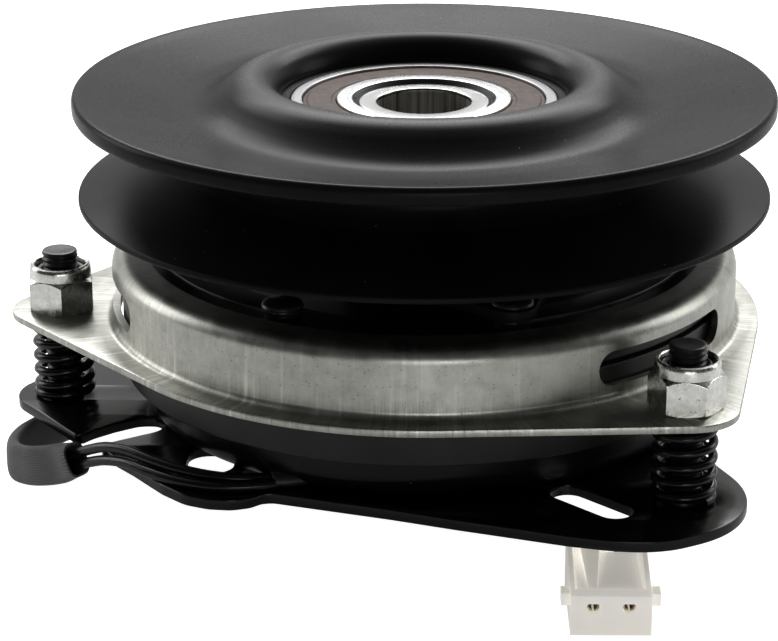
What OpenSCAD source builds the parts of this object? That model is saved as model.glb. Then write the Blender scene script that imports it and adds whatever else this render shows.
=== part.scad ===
// Electromagnetic power take-off clutch and brake with a V-belt pulley.
// Frame: +Z is the shaft axis, Z = 0 is the lower end face of the rotor hub, +Y points away from the lead.

/* [Pulley] */
// Outside radius of the upper flange
pulley_r = 94.5; // [92:0.5:97]
// Sheet thickness of both pulley halves
pulley_t = 2.4; // [2:0.1:2.6]
// Radius of the opening in the dome
dome_opening_r = 38.3; // [37.5:0.1:39]
// Outside radius of the groove's bottom wall
groove_r = 62; // [60:0.5:64]

/* [Hub and rotor] */
// Crankshaft bore radius (one inch shaft)
bore_r = 12.7; // [11:0.05:12.7]
// Width of the keyway
key_w = 6.35; // [5:0.05:6.35]
// Height where the keyway ends, below the bore's plain top end
key_top = 60; // [40:1:80]
// Height of the hub
hub_h = 103.95; // [103.9:0.05:104]
// Outside radius of the rotor
rotor_r = 82.3; // [82:0.1:82.4]
// Height of the friction face
face_z = 54; // [53.9:0.05:54]

/* [Armature] */
// Outside radius of the armature plate
armature_r = 81.4; // [80:0.1:81.6]
// Air gap between armature and rotor while the clutch is off
air_gap = 0.45; // [0.4:0.05:0.5]
// Thickness of the armature plate
armature_t = 7.2; // [7:0.05:7.2]

/* [Brake plate] */
// Sheet thickness of the brake plate
brake_t = 2; // [1.8:0.1:2]
// Outside radius of the cup
cup_r = 85; // [84.8:0.1:86]
// Height of the cup's top face
cup_z = 64.7; // [64.7:0.1:65]
// Height of the foot flange's lower face
foot_z = 43.7; // [43.5:0.1:44]
// Radius of the foot flange between the ears
foot_r = 91.5; // [90:0.5:92]
// Radius of an ear round its stud
ear_r = 13.5; // [12:0.5:14]
// Radius of the opening in the cup's top
brake_opening_r = 75; // [74.5:0.1:75.5]

/* [Base plate] */
// Height of the base plate's lower face
base_z = 17.5; // [17:0.5:17.5]
// Thickness of the base plate
base_t = 3; // [2.5:0.1:3]
// Width of the anti-rotation slot
slot_w = 9.4; // [8:0.1:10]
// Length of the anti-rotation slot, end to end
slot_len = 25; // [22:1:32]

/* [Studs] */
// Distance of the studs from the shaft axis
stud_circle_r = 99.5; // [99:0.1:100]
// Stud radius
stud_r = 4.95; // [4.5:0.05:4.95]
// Height of the stud tips
stud_top = 62.8; // [61:0.1:63]
// Width of a lock nut across its flats
nut_af = 17; // [16:0.5:17]
// Height of a lock nut
nut_h = 12.6; // [11:0.1:13]

/* [Springs] */
// Mean radius of a brake-plate spring
spring_r = 7.2; // [7:0.1:7.4]
// Wire radius of a brake-plate spring
spring_wire_r = 1.25; // [1:0.05:1.3]
// Number of turns
spring_turns = 6; // [5:1:7]

/* [Lead] */
// Radius of each lead wire over its insulation
wire_r = 1.4; // [1:0.05:1.45]
// Height of the flattened sleeve
sleeve_h = 11; // [10:0.2:12]
// Thickness of the flattened sleeve
sleeve_t = 5; // [4.8:0.1:5.2]

/* [Hidden] */

$fn = 96;
gap = 0.05;
over = 1;

// Studs: left, right and rear, as angles about the shaft axis
stud_left = 181.2;
stud_right = 311.3;
stud_rear = 66;
stud_angles = [stud_left, stud_right, stud_rear];
// The inspection windows sit a little past each stud
window_turn = 6.8;
window_span = 34;
window_r = 4.6;
window_z = 54.1;

base_top = base_z + base_t;
brake_top = foot_z + brake_t;
nut_z = brake_top;

// Ball bearings: [bore radius, outside radius, width, pitch radius, ball radius, balls, inner land, outer land]
pulley_bearing = [17.5, 36, 17, 26.75, 5.55, 9, 23.45, 31];
field_bearing = [17.5, 31, 14, 24.25, 3.97, 11, 21.3, 27.6];
pulley_bearing_z = 88;
field_bearing_z = base_top;

// Rotor and field
hub_r = 17.5 - 0.01;
hub_shoulder_r = 22;
rotor_disc_t = 7;
rotor_rim_t = 4;
rotor_rim_z = 32.2;
shell_r = 77.5;
shell_t = 3;
shell_top = 46;
shell_foot_fillet = 7;
seat_r = 31;
seat_t = 3.5;

// Driving straps: they run from a pulley rivet to an armature rivet
strap_start = 289;
strap_span = 69.5;
strap_r = 68.5;
strap_w = 8.4;
strap_eye_r = 4.7;
strap_t = 1.2;
strap_z = 64.9;
rivet_r = 3;
rivet_head_r = 5.4;
lobe_t = 3;
armature_z = face_z + air_gap;
armature_top = armature_z + armature_t;
pad_t = 1;

// Where the lead leaves the shell, and which way it points there
exit_at = [-35.5, -66.8];
exit_turn = 200;
exit_w = 8;
exit_h = 4.4;

// Lead route. Both wires leave the shell, cross the base plate's tongue, run one above the other through the sleeve,
// fold back under the base plate, pass left of and in front of the hub, and part again on the way to the connector.
front_a = [[-35, -68.2, 22.1], [-40, -70.1, 22], [-48, -71.6, 22], [-56, -70.6, 22], [-64, -67, 22],
    [-71, -61.8, 22], [-77, -56, 21.9], [-83, -50, 20.2], [-88, -44.6, 17.4]];
front_b = [[-36, -65.3, 22.3], [-41, -67.1, 22.6], [-48, -68.3, 23], [-56, -67.4, 23.6], [-64, -64.4, 24.3],
    [-71, -59.8, 24.8], [-77, -54.6, 24.9], [-83, -49.2, 23.6], [-88, -44.2, 20.8]];
sleeve_route = [[-92.2, -40, 16.2], [-97, -36.6, 13.6], [-102, -33, 11.4], [-107, -29, 9.8], [-111, -23.6, 8.8],
    [-112.2, -17, 8.4], [-110.5, -8, 7.8], [-106, 2, 7.2], [-99, 12, 6.8], [-89, 20, 6.4], [-76, 25, 6.1],
    [-62, 25, 5.8], [-49, 19, 5.7], [-38, 9, 5.7], [-31, -3, 5.7], [-26, -15, 5.7], [-17, -26, 5.7],
    [-4, -33.5, 5.7], [8, -38, 5.7]];
tail_a = [[12, -39.8, 3.4], [19, -42.6, 2.2], [28, -46.4, 1.8], [36, -52, 2], [41, -60, 3], [42, -70, 5],
    [41.4, -79, 7], [41.3, -86.4, 7.4]];
tail_b = [[12, -38.6, 6.6], [20, -39.6, 4.6], [30, -43, 3], [39.5, -49.6, 2.6], [45.6, -58, 3.4],
    [48.6, -68, 5.4], [50, -78, 7.2], [50.1, -86.4, 7.4]];
wire_lift = 1.65;
sleeve_wall = 0.6;

// Connector
plug_x = 45.7;
plug_back_y = -83;
plug_front_y = -111;
plug_w = 19.8;
plug_h = 10.5;
terminal_pitch = 8.8;
socket_z = 7.4;
guard_top = 15.5;

function polar(r, a) = [r * cos(a), r * sin(a)];
function arc(c, r, a0, a1, n) = [for (i = [0:n]) c + r * [cos(a0 + (a1 - a0) * i / n), sin(a0 + (a1 - a0) * i / n)]];

// A flattened ring of points round a route's point: w is the level half width and h the upright half height
function unit(v) = v / norm(v);
function along(route, i) = unit(route[min(i + 1, len(route) - 1)] - route[max(i - 1, 0)]);
function level(t) = unit(cross(t, [0, 0, 1]));
function ring(p, t, w, h, sides) = [for (k = [0:sides - 1])
    p + level(t) * w * cos(360 * k / sides) + cross(level(t), t) * h * sin(360 * k / sides)];
function rings(route, w, h, sides) = [for (i = [0:len(route) - 1]) each ring(route[i], along(route, i), w, h, sides)];
function skin(first, last, sides) = [for (i = [0:last - 1]) for (k = [0:sides - 1])
    [first + i * sides + k, first + i * sides + (k + 1) % sides,
        first + (i + 1) * sides + (k + 1) % sides, first + (i + 1) * sides + k]];
function turned(faces) = [for (f = faces) [for (k = [len(f) - 1:-1:0]) f[k]]];

module tube_along(route, w, h, sides) {
    last = len(route) - 1;
    ends = [[for (k = [0:sides - 1]) sides - 1 - k], [for (k = [0:sides - 1]) last * sides + k]];
    polyhedron(rings(route, w, h, sides), concat(skin(0, last, sides), ends), convexity = 6);
}

module hollow_tube_along(route, w, h, wall, sides) {
    last = len(route) - 1;
    inner = len(route) * sides;
    ends = [for (k = [0:sides - 1]) let (n = (k + 1) % sides) each [[k, inner + k, inner + n, n],
        [last * sides + k, last * sides + n, inner + last * sides + n, inner + last * sides + k]]];
    polyhedron(concat(rings(route, w, h, sides), rings(route, w - wall, h - wall, sides)),
        concat(skin(0, last, sides), turned(skin(inner, last, sides)), ends), convexity = 8);
}

// A ring from radius r0 to r1 between two heights
module band(r0, r1, z0, z1) {
    rotate_extrude() translate([r0, z0]) square([r1 - r0, z1 - z0]);
}

// Both tangents of a disc at the origin and a smaller one at p, with the smaller disc
module tangent_ear(big_r, small_r, distance, angle) {
    lean = acos((big_r - small_r) / distance);
    rotate(angle) {
        polygon([[0, 0], polar(big_r, -lean), [distance, 0] + polar(small_r, -lean),
            [distance, 0] + polar(small_r, lean), polar(big_r, lean)]);
        translate([distance, 0]) circle(small_r);
    }
}

module at_studs() {
    for (a = stud_angles) rotate(a) translate([stud_circle_r, 0, 0]) children();
}

// ---- field: the part that stands still ----

module base_outline() {
    circle(74);
    tangent_ear(60, ear_r - 0.5, stud_circle_r, stud_rear);
    rotate(stud_left) translate([stud_circle_r, 0]) circle(ear_r - 0.5);
    // Left arm with its hooked front corner
    polygon([[-110.2, 5.4], [-93.8, 31.2], [-88, 37.4], [-80, 41], [-66, 40], [-40, 0], [-60, -24], [-69.6, -23.4], [-72.6, -20.8], [-77, -20.6], [-83.4, -24.8],
        [-88.6, -29.4], [-91, -32.6], [-93, -32.8], [-98.2, -26], [-103.6, -18.2], [-110.6, -8.8]]);
    // Front tongue that carries the lead, and the long front edge up to the right arm
    polygon([[-60, -24], [-69.6, -25.6], [-70.8, -30], [-85.4, -39.6], [-84.4, -43.4], [-80.6, -48.6], [-75.6, -54.8],
        [-71.2, -61], [-67, -66.6], [-60.8, -73], [-54.6, -75.8], [-48.4, -76.6], [-43.8, -75], [-41, -72.4], [-38.4, -72],
        [-24, -76.8], [-8, -82.2], [8, -88.2], [35.6, -97.8], [46, -100.2], [56, -101], [60.6, -100], [65.2, -97.8],
        [71.4, -94], [76, -89.4], [79.6, -84], [82, -76], [81.8, -66.8], [77.6, -55.4], [72, -40], [0, 0]]);
}

module base_openings() {
    circle(28);
    // Anti-rotation slot, parallel to the right stud's radius
    translate([42.5, -76.5]) rotate(-45.5) {
        square([slot_len - slot_w, slot_w], center = true);
        for (s = [-1, 1]) translate([s * (slot_len - slot_w) / 2, 0]) circle(slot_w / 2);
    }
    // Openings in the tongue beside the lead
    translate([-55.6, -50]) {
        square([12.4, 6], center = true);
        for (s = [-1, 1]) translate([0, 3 * s]) circle(6.2);
    }
    polygon([[-47.2, -61.4], [-46.6, -53.4], [-44, -52.6], [-39.2, -58.6], [-39.6, -60]]);
}

module base_plate() {
    color([0.05, 0.045, 0.05]) difference() {
        translate([0, 0, base_z]) linear_extrude(base_t) difference() {
            base_outline();
            base_openings();
        }
        at_studs() translate([0, 0, base_z - over]) cylinder(r = stud_r + gap, h = base_t + 2 * over);
    }
}

module field_shell() {
    inner_r = shell_r - shell_t;
    floor_r = shell_r - shell_foot_fillet;
    color([0.08, 0.08, 0.085]) difference() {
        rotate_extrude() difference() {
            polygon(concat([[seat_r, base_top]],
                arc([floor_r, base_top + shell_foot_fillet], shell_foot_fillet, -90, 0, 8),
                [[shell_r, shell_top], [inner_r, shell_top], [inner_r, base_top + shell_foot_fillet],
                [floor_r, base_top + shell_t], [seat_r + seat_t, base_top + shell_t],
                [seat_r + seat_t, shell_top], [seat_r, shell_top]]));
            // Groove for the bearing clip
            translate([seat_r - over, field_bearing_z + field_bearing[2] + gap]) square([over + 1.2, 1.6]);
        }
        // Pocket that the lead comes out of
        translate([exit_at[0], exit_at[1], base_top - over]) rotate(exit_turn)
            translate([-exit_w - gap, -exit_w / 2 - gap, 0]) cube([exit_w + 8, exit_w + 2 * gap, exit_h + over + 2 * gap]);
    }
}

module coil_bobbin() {
    color([0.16, 0.15, 0.14]) rotate_extrude() difference() {
        translate([37.5, 25]) square([34.5, 18]);
        translate([39.5, 27]) square([30.5, 14]);
    }
}

module coil_winding() {
    color([0.55, 0.27, 0.12]) band(39.6, 69.9, 27.1, 40.9);
}

module coil_potting() {
    color([0.04, 0.04, 0.04]) band(34.7, 74.3, 43.1, 45.4);
}

// ---- ball bearings ----

module bearing_outer(b, z) {
    color([0.75, 0.75, 0.75]) translate([0, 0, z]) rotate_extrude() difference() {
        translate([b[7], 0]) square([b[1] - b[7], b[2]]);
        translate([b[3], b[2] / 2]) circle(b[4] + 0.03);
        for (s = [0, 1]) translate([b[7] - over, s * b[2] + (s == 0 ? -over : -2)]) square([over + 1.76, 2 + over]);
        for (s = [0, 1]) translate([b[1], s * b[2]]) rotate(45) square(1.1, center = true);
    }
}

module bearing_inner(b, z) {
    color([0.78, 0.78, 0.78]) translate([0, 0, z]) rotate_extrude() difference() {
        translate([b[0], 0]) square([b[6] - b[0], b[2]]);
        translate([b[3], b[2] / 2]) circle(b[4] + 0.03);
        for (s = [0, 1]) translate([b[0], s * b[2]]) rotate(45) square(2.6, center = true);
    }
}

module bearing_balls(b, z) {
    color([0.85, 0.85, 0.86]) for (i = [0:b[5] - 1])
        rotate(360 * i / b[5]) translate([b[3], 0, z + b[2] / 2]) sphere(b[4], $fn = 48);
}

module bearing_cage(b, z) {
    half = b[4] * 0.62;
    color([0.6, 0.55, 0.4]) difference() {
        band(b[3] - 0.9, b[3] + 0.9, z + b[2] / 2 - half, z + b[2] / 2 + half);
        for (i = [0:b[5] - 1]) rotate(360 * i / b[5]) translate([b[3], 0, z + b[2] / 2]) sphere(b[4] + 0.12, $fn = 48);
    }
}

module bearing_seals(b, z) {
    color([0.23, 0.14, 0.11]) for (s = [0, 1])
        band(b[6] + 0.2, b[7] + 1.7, z + (s == 0 ? 0.35 : b[2] - 1.65), z + (s == 0 ? 1.65 : b[2] - 0.35));
}

module field_bearing_clip() {
    color([0.2, 0.2, 0.2]) translate([0, 0, field_bearing_z + field_bearing[2] + 2 * gap]) difference() {
        band(seat_r - 2.4, seat_r + 1.1, 0, 1.5);
        translate([0, -4, -over]) cube([seat_r + 4, 8, 1.5 + 2 * over]);
    }
}

module hub_clip() {
    color([0.2, 0.2, 0.2]) translate([0, 0, field_bearing_z - 1.9]) difference() {
        band(hub_r - 1.1, hub_r + 2.6, 0, 1.75);
        rotate(130) translate([0, -3, -over]) cube([seat_r, 6, 1.75 + 2 * over]);
    }
}

// ---- rotor: turns with the crankshaft ----

// A round of curved slots that parts the magnetic poles
module pole_slots(r, w, count, turn) {
    for (i = [0:count - 1]) rotate([0, 0, turn + 360 * i / count])
        rotate_extrude(angle = 360 / count - 12) translate([r - w / 2, face_z - rotor_disc_t - over])
            square([w, rotor_disc_t + 2 * over]);
}

module rotor() {
    disc_z = face_z - rotor_disc_t;
    color([0.12, 0.12, 0.12]) difference() {
        union() {
            band(bore_r, hub_r, 0, hub_h);
            band(hub_r - over, hub_shoulder_r, field_bearing_z + field_bearing[2] + gap, pulley_bearing_z - gap);
            band(hub_shoulder_r - over, rotor_r, disc_z, face_z);
            band(rotor_r - rotor_rim_t, rotor_r, rotor_rim_z, face_z);
        }
        pole_slots(50, 3.5, 4, 0);
        pole_slots(66, 3.5, 6, 20);
        // Keyway
        translate([-key_w / 2, 0, -over]) cube([key_w, bore_r + 3.1, key_top + over]);
        // Groove for the hub clip
        band(hub_r - 1.2, hub_r + over, field_bearing_z - 1.95, field_bearing_z - gap);
        // Chamfers at the top of the bore and of the bearing seat
        rotate_extrude() polygon([[bore_r - over, hub_h - 0.55 - over], [bore_r + 0.55 + over, hub_h + over],
            [bore_r - over, hub_h + over]]);
        rotate_extrude() polygon([[hub_r - 0.5 - over, hub_h + over], [hub_r + over, hub_h - 0.5 - over],
            [hub_r + over, hub_h + over]]);
    }
}

// ---- pulley: turns with the belt ----

module pulley_upper() {
    t = pulley_t;
    color([0.06, 0.06, 0.065]) rotate_extrude() polygon([
        // upper side, from the rolled rim to the dome's opening
        [pulley_r, 104.7], [pulley_r, 107.1], [pulley_r - 0.5, 107.9], [pulley_r - 1.4, 108.4], [pulley_r - 2.6, 108.2],
        [69, 103.7], [64.5, 103.5], [61, 104.2], [58, 105.7], [55.4, 107.8], [53, 109.7], [50.4, 111], [47.6, 111.7],
        [45, 111.7], [42.6, 111], [40.6, 109.6], [39.2, 107.8], [dome_opening_r, 104.9],
        // lower side, back to the rim
        [dome_opening_r + t, 104.9], [dome_opening_r + t + 0.7, 106.8], [43, 108.3], [45, 109.2], [47.2, 109.2],
        [49.2, 108.7], [51.4, 107.5], [53.6, 105.8], [56.2, 103.7], [59.4, 102], [63, 100.9], [68.8, 100.9],
        [pulley_r - 3.4, 104.9], [pulley_r - 2, 104.5], [pulley_r - 0.6, 104.3]]);
}

module pulley_lower() {
    t = pulley_t;
    color([0.05, 0.05, 0.055]) rotate_extrude() polygon([
        // upper side, from the rim up the groove to the joint with the upper half
        [93.3, 79.4], [93.2, 80.3], [92.4, 80.9], [66, 88.7], [63.4, 90.3], [groove_r, 92.6], [groove_r, 99.4],
        [groove_r - 1.4, 100.8], [41.2, 100.8], [41.2, 100.8 - t], [groove_r - 3.4, 100.8 - t], [groove_r - t, 97.4],
        [groove_r - t, 92], [groove_r - 0.4, 88.8], [65, 86.5], [91.6, 78.6], [92.8, 78.7]]);
}

module rivet(z0, z1, head_z, head_h) {
    translate([0, 0, z0]) cylinder(r = rivet_r, h = z1 - z0);
    translate([0, 0, head_z]) cylinder(r = rivet_head_r, h = head_h);
}

module pulley_hub() {
    z1 = strap_z + strap_t + gap;
    color([0.1, 0.1, 0.1]) difference() {
        union() {
            band(36.02, 41, z1, 104.85);
            band(32.5, 36.5, z1, pulley_bearing_z - gap);
            translate([0, 0, z1]) linear_extrude(lobe_t) for (i = [0:2])
                tangent_ear(41, 6.2, strap_r, strap_start + 120 * i);
            band(40, 48, 95, 98.3);
        }
        translate([0, 0, z1 - over]) cylinder(r = 32.5, h = lobe_t + 2 * over);
        for (i = [0:2]) rotate(strap_start + 120 * i) translate([strap_r, 0, z1 - over])
            cylinder(r = rivet_r + gap, h = lobe_t + 2 * over);
    }
}

module pulley_rivets() {
    color([0.06, 0.06, 0.06]) for (i = [0:2]) rotate(strap_start + 120 * i) translate([strap_r, 0, 0]) {
        rivet(strap_z - 0.1, strap_z + strap_t + lobe_t + 0.1, strap_z + strap_t + lobe_t + 2 * gap, 2.2);
        translate([0, 0, strap_z - 1.6]) cylinder(r = rivet_head_r - 0.6, h = 1.55);
    }
}

module leaf_springs() {
    color([0.12, 0.11, 0.12]) for (i = [0:2]) rotate(strap_start + 120 * i) translate([0, 0, strap_z])
        difference() {
            union() {
                rotate_extrude(angle = strap_span) translate([strap_r - strap_w / 2, 0]) square([strap_w, strap_t]);
                for (a = [0, strap_span]) rotate(a) translate([strap_r, 0, 0]) cylinder(r = strap_eye_r, h = strap_t);
            }
            for (a = [0, strap_span]) rotate(a) translate([strap_r, 0, -over])
                cylinder(r = rivet_r + gap, h = strap_t + 2 * over);
        }
}

// ---- armature: slides down onto the rotor when the coil is on ----

module armature_plate() {
    color([0.3, 0.29, 0.28]) difference() {
        band(56, armature_r, armature_z, armature_top);
        for (i = [0:2]) rotate(strap_start + strap_span + 120 * i) translate([strap_r, 0, armature_z - over])
            cylinder(r = rivet_r + gap, h = armature_t + 2 * over);
        // Relief under each pulley rivet's lower head
        for (i = [0:2]) rotate(strap_start + 120 * i) translate([strap_r, 0, armature_top - 2])
            cylinder(r = rivet_head_r + 0.6, h = 2 + over);
    }
}

module armature_rivets() {
    color([0.06, 0.06, 0.06]) for (i = [0:2]) rotate(strap_start + strap_span + 120 * i) translate([strap_r, 0, 0]) {
        rivet(armature_z + 0.3, strap_z + strap_t + 0.1, strap_z + strap_t + 2 * gap, 2.2);
        translate([0, 0, armature_top + gap]) cylinder(r = rivet_head_r - 0.6, h = strap_z - armature_top - 2 * gap);
    }
}

// ---- brake plate and its adjusters ----

module brake_plate() {
    corner = 4.6;
    inner_r = cup_r - brake_t;
    color([0.62, 0.61, 0.58]) difference() {
        union() {
            rotate_extrude() difference() {
                polygon(concat([[brake_opening_r, cup_z - brake_t], [brake_opening_r, cup_z]],
                    arc([cup_r - corner, cup_z - corner], corner, 90, 0, 8), [[cup_r, brake_top + 1.6],
                    [cup_r + 0.5, brake_top + 0.5], [cup_r + 1.6, brake_top], [foot_r - over, brake_top],
                    [foot_r - over, foot_z], [cup_r, foot_z], [inner_r + 0.5, foot_z + 0.6], [inner_r, foot_z + 2]],
                    arc([cup_r - corner, cup_z - corner], corner - brake_t, 0, 90, 8)));
            }
            translate([0, 0, foot_z]) linear_extrude(brake_t) difference() {
                union() {
                    circle(foot_r);
                    for (a = stud_angles) tangent_ear(foot_r - 0.4, ear_r, stud_circle_r, a);
                }
                circle(cup_r + 0.8);
            }
        }
        at_studs() translate([0, 0, foot_z - over]) cylinder(r = stud_r + 0.35, h = brake_t + 2 * over);
        // Inspection windows
        half = cup_r * sin(window_span / 2) - window_r;
        for (a = stud_angles) rotate(a + window_turn) translate([inner_r - 6, 0, window_z])
            rotate([90, 0, 90]) linear_extrude(brake_t + 8) {
                square([2 * half, 2 * window_r], center = true);
                for (s = [-1, 1]) translate([s * half, 0]) circle(window_r);
            }
    }
}

module brake_pads() {
    pad_z = cup_z - brake_t - pad_t;
    color([0.2, 0.17, 0.14]) for (i = [0:2]) rotate([0, 0, 20 + 120 * i])
        rotate_extrude(angle = 80) translate([brake_opening_r + 0.3, pad_z]) square([4, pad_t - gap / 2]);
}

module studs() {
    color([0.04, 0.04, 0.04]) at_studs() {
        translate([0, 0, base_z - gap]) cylinder(r = stud_r, h = stud_top - base_z + gap);
        translate([0, 0, base_z - 4]) cylinder(r = 8.5, h = 4 - gap);
    }
}

module brake_spring(a) {
    z0 = base_top + spring_wire_r + 0.1;
    travel = foot_z - base_top - 2 * spring_wire_r - 0.2;
    steps = 14 * spring_turns;
    // The end turns lie almost flat, so height follows a smooth step with short level ends
    path = [for (i = [0:steps]) let (u = i / steps, dead = 0.9 / spring_turns,
        s = min(1, max(0, (u - dead) / (1 - 2 * dead))), lift = (u < dead ? u / dead : 1) * 0.09
            + s * 0.82 + (u > 1 - dead ? (u - 1 + dead) / dead : 0) * 0.09)
        [spring_r * cos(360 * spring_turns * u), spring_r * sin(360 * spring_turns * u), z0 + travel * lift]];
    color([0.03, 0.03, 0.03]) rotate(a) translate([stud_circle_r, 0, 0])
        tube_along(path, spring_wire_r, spring_wire_r, 6);
}

// Hexagon with the corners turned away, a plain collar and a pocket for the nylon ring
module lock_nut(a, turn) {
    color([0.72, 0.72, 0.7]) rotate(a) translate([stud_circle_r, 0, nut_z]) rotate(turn) difference() {
        intersection() {
            union() {
                cylinder(r = nut_af / sqrt(3), h = nut_h - 2.6, $fn = 6);
                cylinder(r = nut_af / 2 - 0.4, h = nut_h);
            }
            rotate_extrude() polygon([[0, 0], [nut_af / 2, 0], [nut_af / sqrt(3) + 0.1, 0.9],
                [nut_af / sqrt(3) + 0.1, nut_h - 3.7], [nut_af / 2 - 0.3, nut_h - 2.5],
                [nut_af / 2 - 0.5, nut_h - 0.9], [nut_af / 2 - 1.3, nut_h], [0, nut_h]]);
        }
        translate([0, 0, -over]) cylinder(r = stud_r + gap, h = nut_h + 2 * over);
        translate([0, 0, nut_h - 3]) cylinder(r = stud_r + 2, h = 3 + over);
    }
}

module nut_insert(a) {
    color([0.05, 0.05, 0.06]) rotate(a) translate([stud_circle_r, 0, nut_z + nut_h - 2.95])
        band(stud_r + gap, stud_r + 1.95, 0, 2.4);
}

// ---- lead and connector ----

module lead_grommet() {
    color([0.05, 0.05, 0.05]) translate([exit_at[0], exit_at[1], base_top + gap]) rotate(exit_turn)
        translate([-exit_w, -exit_w / 2, 0]) cube([exit_w, exit_w, exit_h]);
}

module lead_wire(front, lift, tail) {
    route = concat(front, [for (p = sleeve_route) p + [0, 0, lift]], tail);
    color([0.02, 0.02, 0.02]) tube_along(route, wire_r, wire_r, 8);
}

module lead_sleeve() {
    color([0.13, 0.13, 0.14]) hollow_tube_along(sleeve_route, sleeve_t / 2, sleeve_h / 2, sleeve_wall, 12);
}

module connector_housing() {
    color([0.93, 0.92, 0.89]) difference() {
        union() {
            translate([plug_x - plug_w / 2, plug_front_y, 0]) cube([plug_w, plug_back_y - plug_front_y, plug_h]);
            for (s = [-1, 1]) {
                // Guards that rise towards the back, and short wings behind the mating face
                translate([plug_x + s * (plug_w / 2 - 0.9) - 0.9, 0, 0]) rotate([90, 0, 90]) linear_extrude(1.8)
                    polygon([[plug_front_y + 3, plug_h - 2], [plug_back_y, plug_h - 2],
                        [plug_back_y, guard_top], [plug_front_y + 3, plug_h]]);
                translate([plug_x + s * (plug_w / 2 + 1) - 1.2, plug_front_y + 2, plug_h - 3]) cube([2.4, 4, 3]);
            }
            translate([plug_x - 7.6, plug_back_y - 6, plug_h - over]) cube([8, 5, 3]);
        }
        for (s = [-1, 1]) translate([plug_x + s * terminal_pitch / 2, plug_front_y - over, socket_z]) rotate([-90, 0, 0]) {
            cylinder(r = 1.65, h = plug_back_y - plug_front_y + 2 * over);
        }
    }
}

module connector_terminals() {
    color([0.7, 0.6, 0.35]) for (s = [-1, 1])
        translate([plug_x + s * terminal_pitch / 2, plug_front_y + 1.5, socket_z]) rotate([-90, 0, 0]) difference() {
            cylinder(r = 1.55, h = 23);
            translate([0, 0, -over]) cylinder(r = 1.1, h = 14 + over);
            translate([-0.25, -2, -over]) cube([0.5, 4, 10 + over]);
        }
}

base_plate();
field_shell();
coil_bobbin();
coil_winding();
coil_potting();
bearing_outer(field_bearing, field_bearing_z);  // field_bearing_outer_ring
bearing_inner(field_bearing, field_bearing_z);  // field_bearing_inner_ring
bearing_balls(field_bearing, field_bearing_z);  // field_bearing_balls
bearing_cage(field_bearing, field_bearing_z);  // field_bearing_cage
bearing_seals(field_bearing, field_bearing_z);  // field_bearing_seals
field_bearing_clip();
hub_clip();
rotor();
bearing_outer(pulley_bearing, pulley_bearing_z);  // pulley_bearing_outer_ring
bearing_inner(pulley_bearing, pulley_bearing_z);  // pulley_bearing_inner_ring
bearing_balls(pulley_bearing, pulley_bearing_z);  // pulley_bearing_balls
bearing_cage(pulley_bearing, pulley_bearing_z);  // pulley_bearing_cage
bearing_seals(pulley_bearing, pulley_bearing_z);  // pulley_bearing_seals
pulley_upper();
pulley_lower();
pulley_hub();
pulley_rivets();
leaf_springs();
armature_plate();
armature_rivets();
brake_plate();
brake_pads();
studs();
brake_spring(stud_left);  // spring_left
brake_spring(stud_right);  // spring_right
brake_spring(stud_rear);  // spring_rear
lock_nut(stud_left, 36);  // nut_left
lock_nut(stud_right, 43);  // nut_right
lock_nut(stud_rear, 10);  // nut_rear
nut_insert(stud_left);  // nut_insert_left
nut_insert(stud_right);  // nut_insert_right
nut_insert(stud_rear);  // nut_insert_rear
lead_grommet();
lead_wire(front_a, -wire_lift, tail_a);  // lead_wire_a
lead_wire(front_b, wire_lift, tail_b);  // lead_wire_b
lead_sleeve();
connector_housing();
connector_terminals();
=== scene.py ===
"""Looks of the electromagnetic clutch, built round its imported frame.

Lengths are written in millimetres and turned into metres where a mesh is made.
Every part's size repeats the frame's, so each piece sits exactly where its CAD node is.
"""
import math

import bmesh
import bpy
import numpy as np
from mathutils import Matrix, Vector


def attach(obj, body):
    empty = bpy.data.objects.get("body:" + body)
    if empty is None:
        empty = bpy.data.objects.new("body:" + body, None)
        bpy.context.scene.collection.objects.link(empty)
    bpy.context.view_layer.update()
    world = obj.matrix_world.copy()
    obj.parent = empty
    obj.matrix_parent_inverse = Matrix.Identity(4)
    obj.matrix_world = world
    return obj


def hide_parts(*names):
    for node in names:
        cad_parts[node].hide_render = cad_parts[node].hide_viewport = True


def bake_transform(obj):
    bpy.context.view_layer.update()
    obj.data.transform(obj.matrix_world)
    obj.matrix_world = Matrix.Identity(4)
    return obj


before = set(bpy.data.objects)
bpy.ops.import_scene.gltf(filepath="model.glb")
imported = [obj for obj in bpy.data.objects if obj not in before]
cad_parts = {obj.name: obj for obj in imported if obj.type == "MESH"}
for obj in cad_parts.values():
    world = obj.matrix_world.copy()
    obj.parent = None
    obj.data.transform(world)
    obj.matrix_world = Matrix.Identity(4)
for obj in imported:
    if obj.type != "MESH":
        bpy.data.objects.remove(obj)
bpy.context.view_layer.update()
MM = 0.001
TURN = 2 * math.pi

STUD_CIRCLE = 99.5
STUD_ANGLES = {"left": 181.2, "right": 311.3, "rear": 66.0}
STRAP_START, STRAP_SPAN, STRAP_R = 289.0, 69.5, 68.5
BASE_Z, BASE_TOP = 17.5, 20.5
FOOT_Z, BRAKE_TOP, CUP_Z, CUP_R = 43.7, 45.7, 64.7, 85.0
STRAP_Z, STRAP_T = 64.9, 1.2
ARMATURE_TOP = 61.65
ON_AXIS = 0.001  # radius at which a solid turned piece closes
CREST_R = 46.6  # where the pulley's dome is highest


# ---- camera and objects

def add_object(name, data):
    obj = bpy.data.objects.new(name, data)
    bpy.context.scene.collection.objects.link(obj)
    return obj


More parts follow.
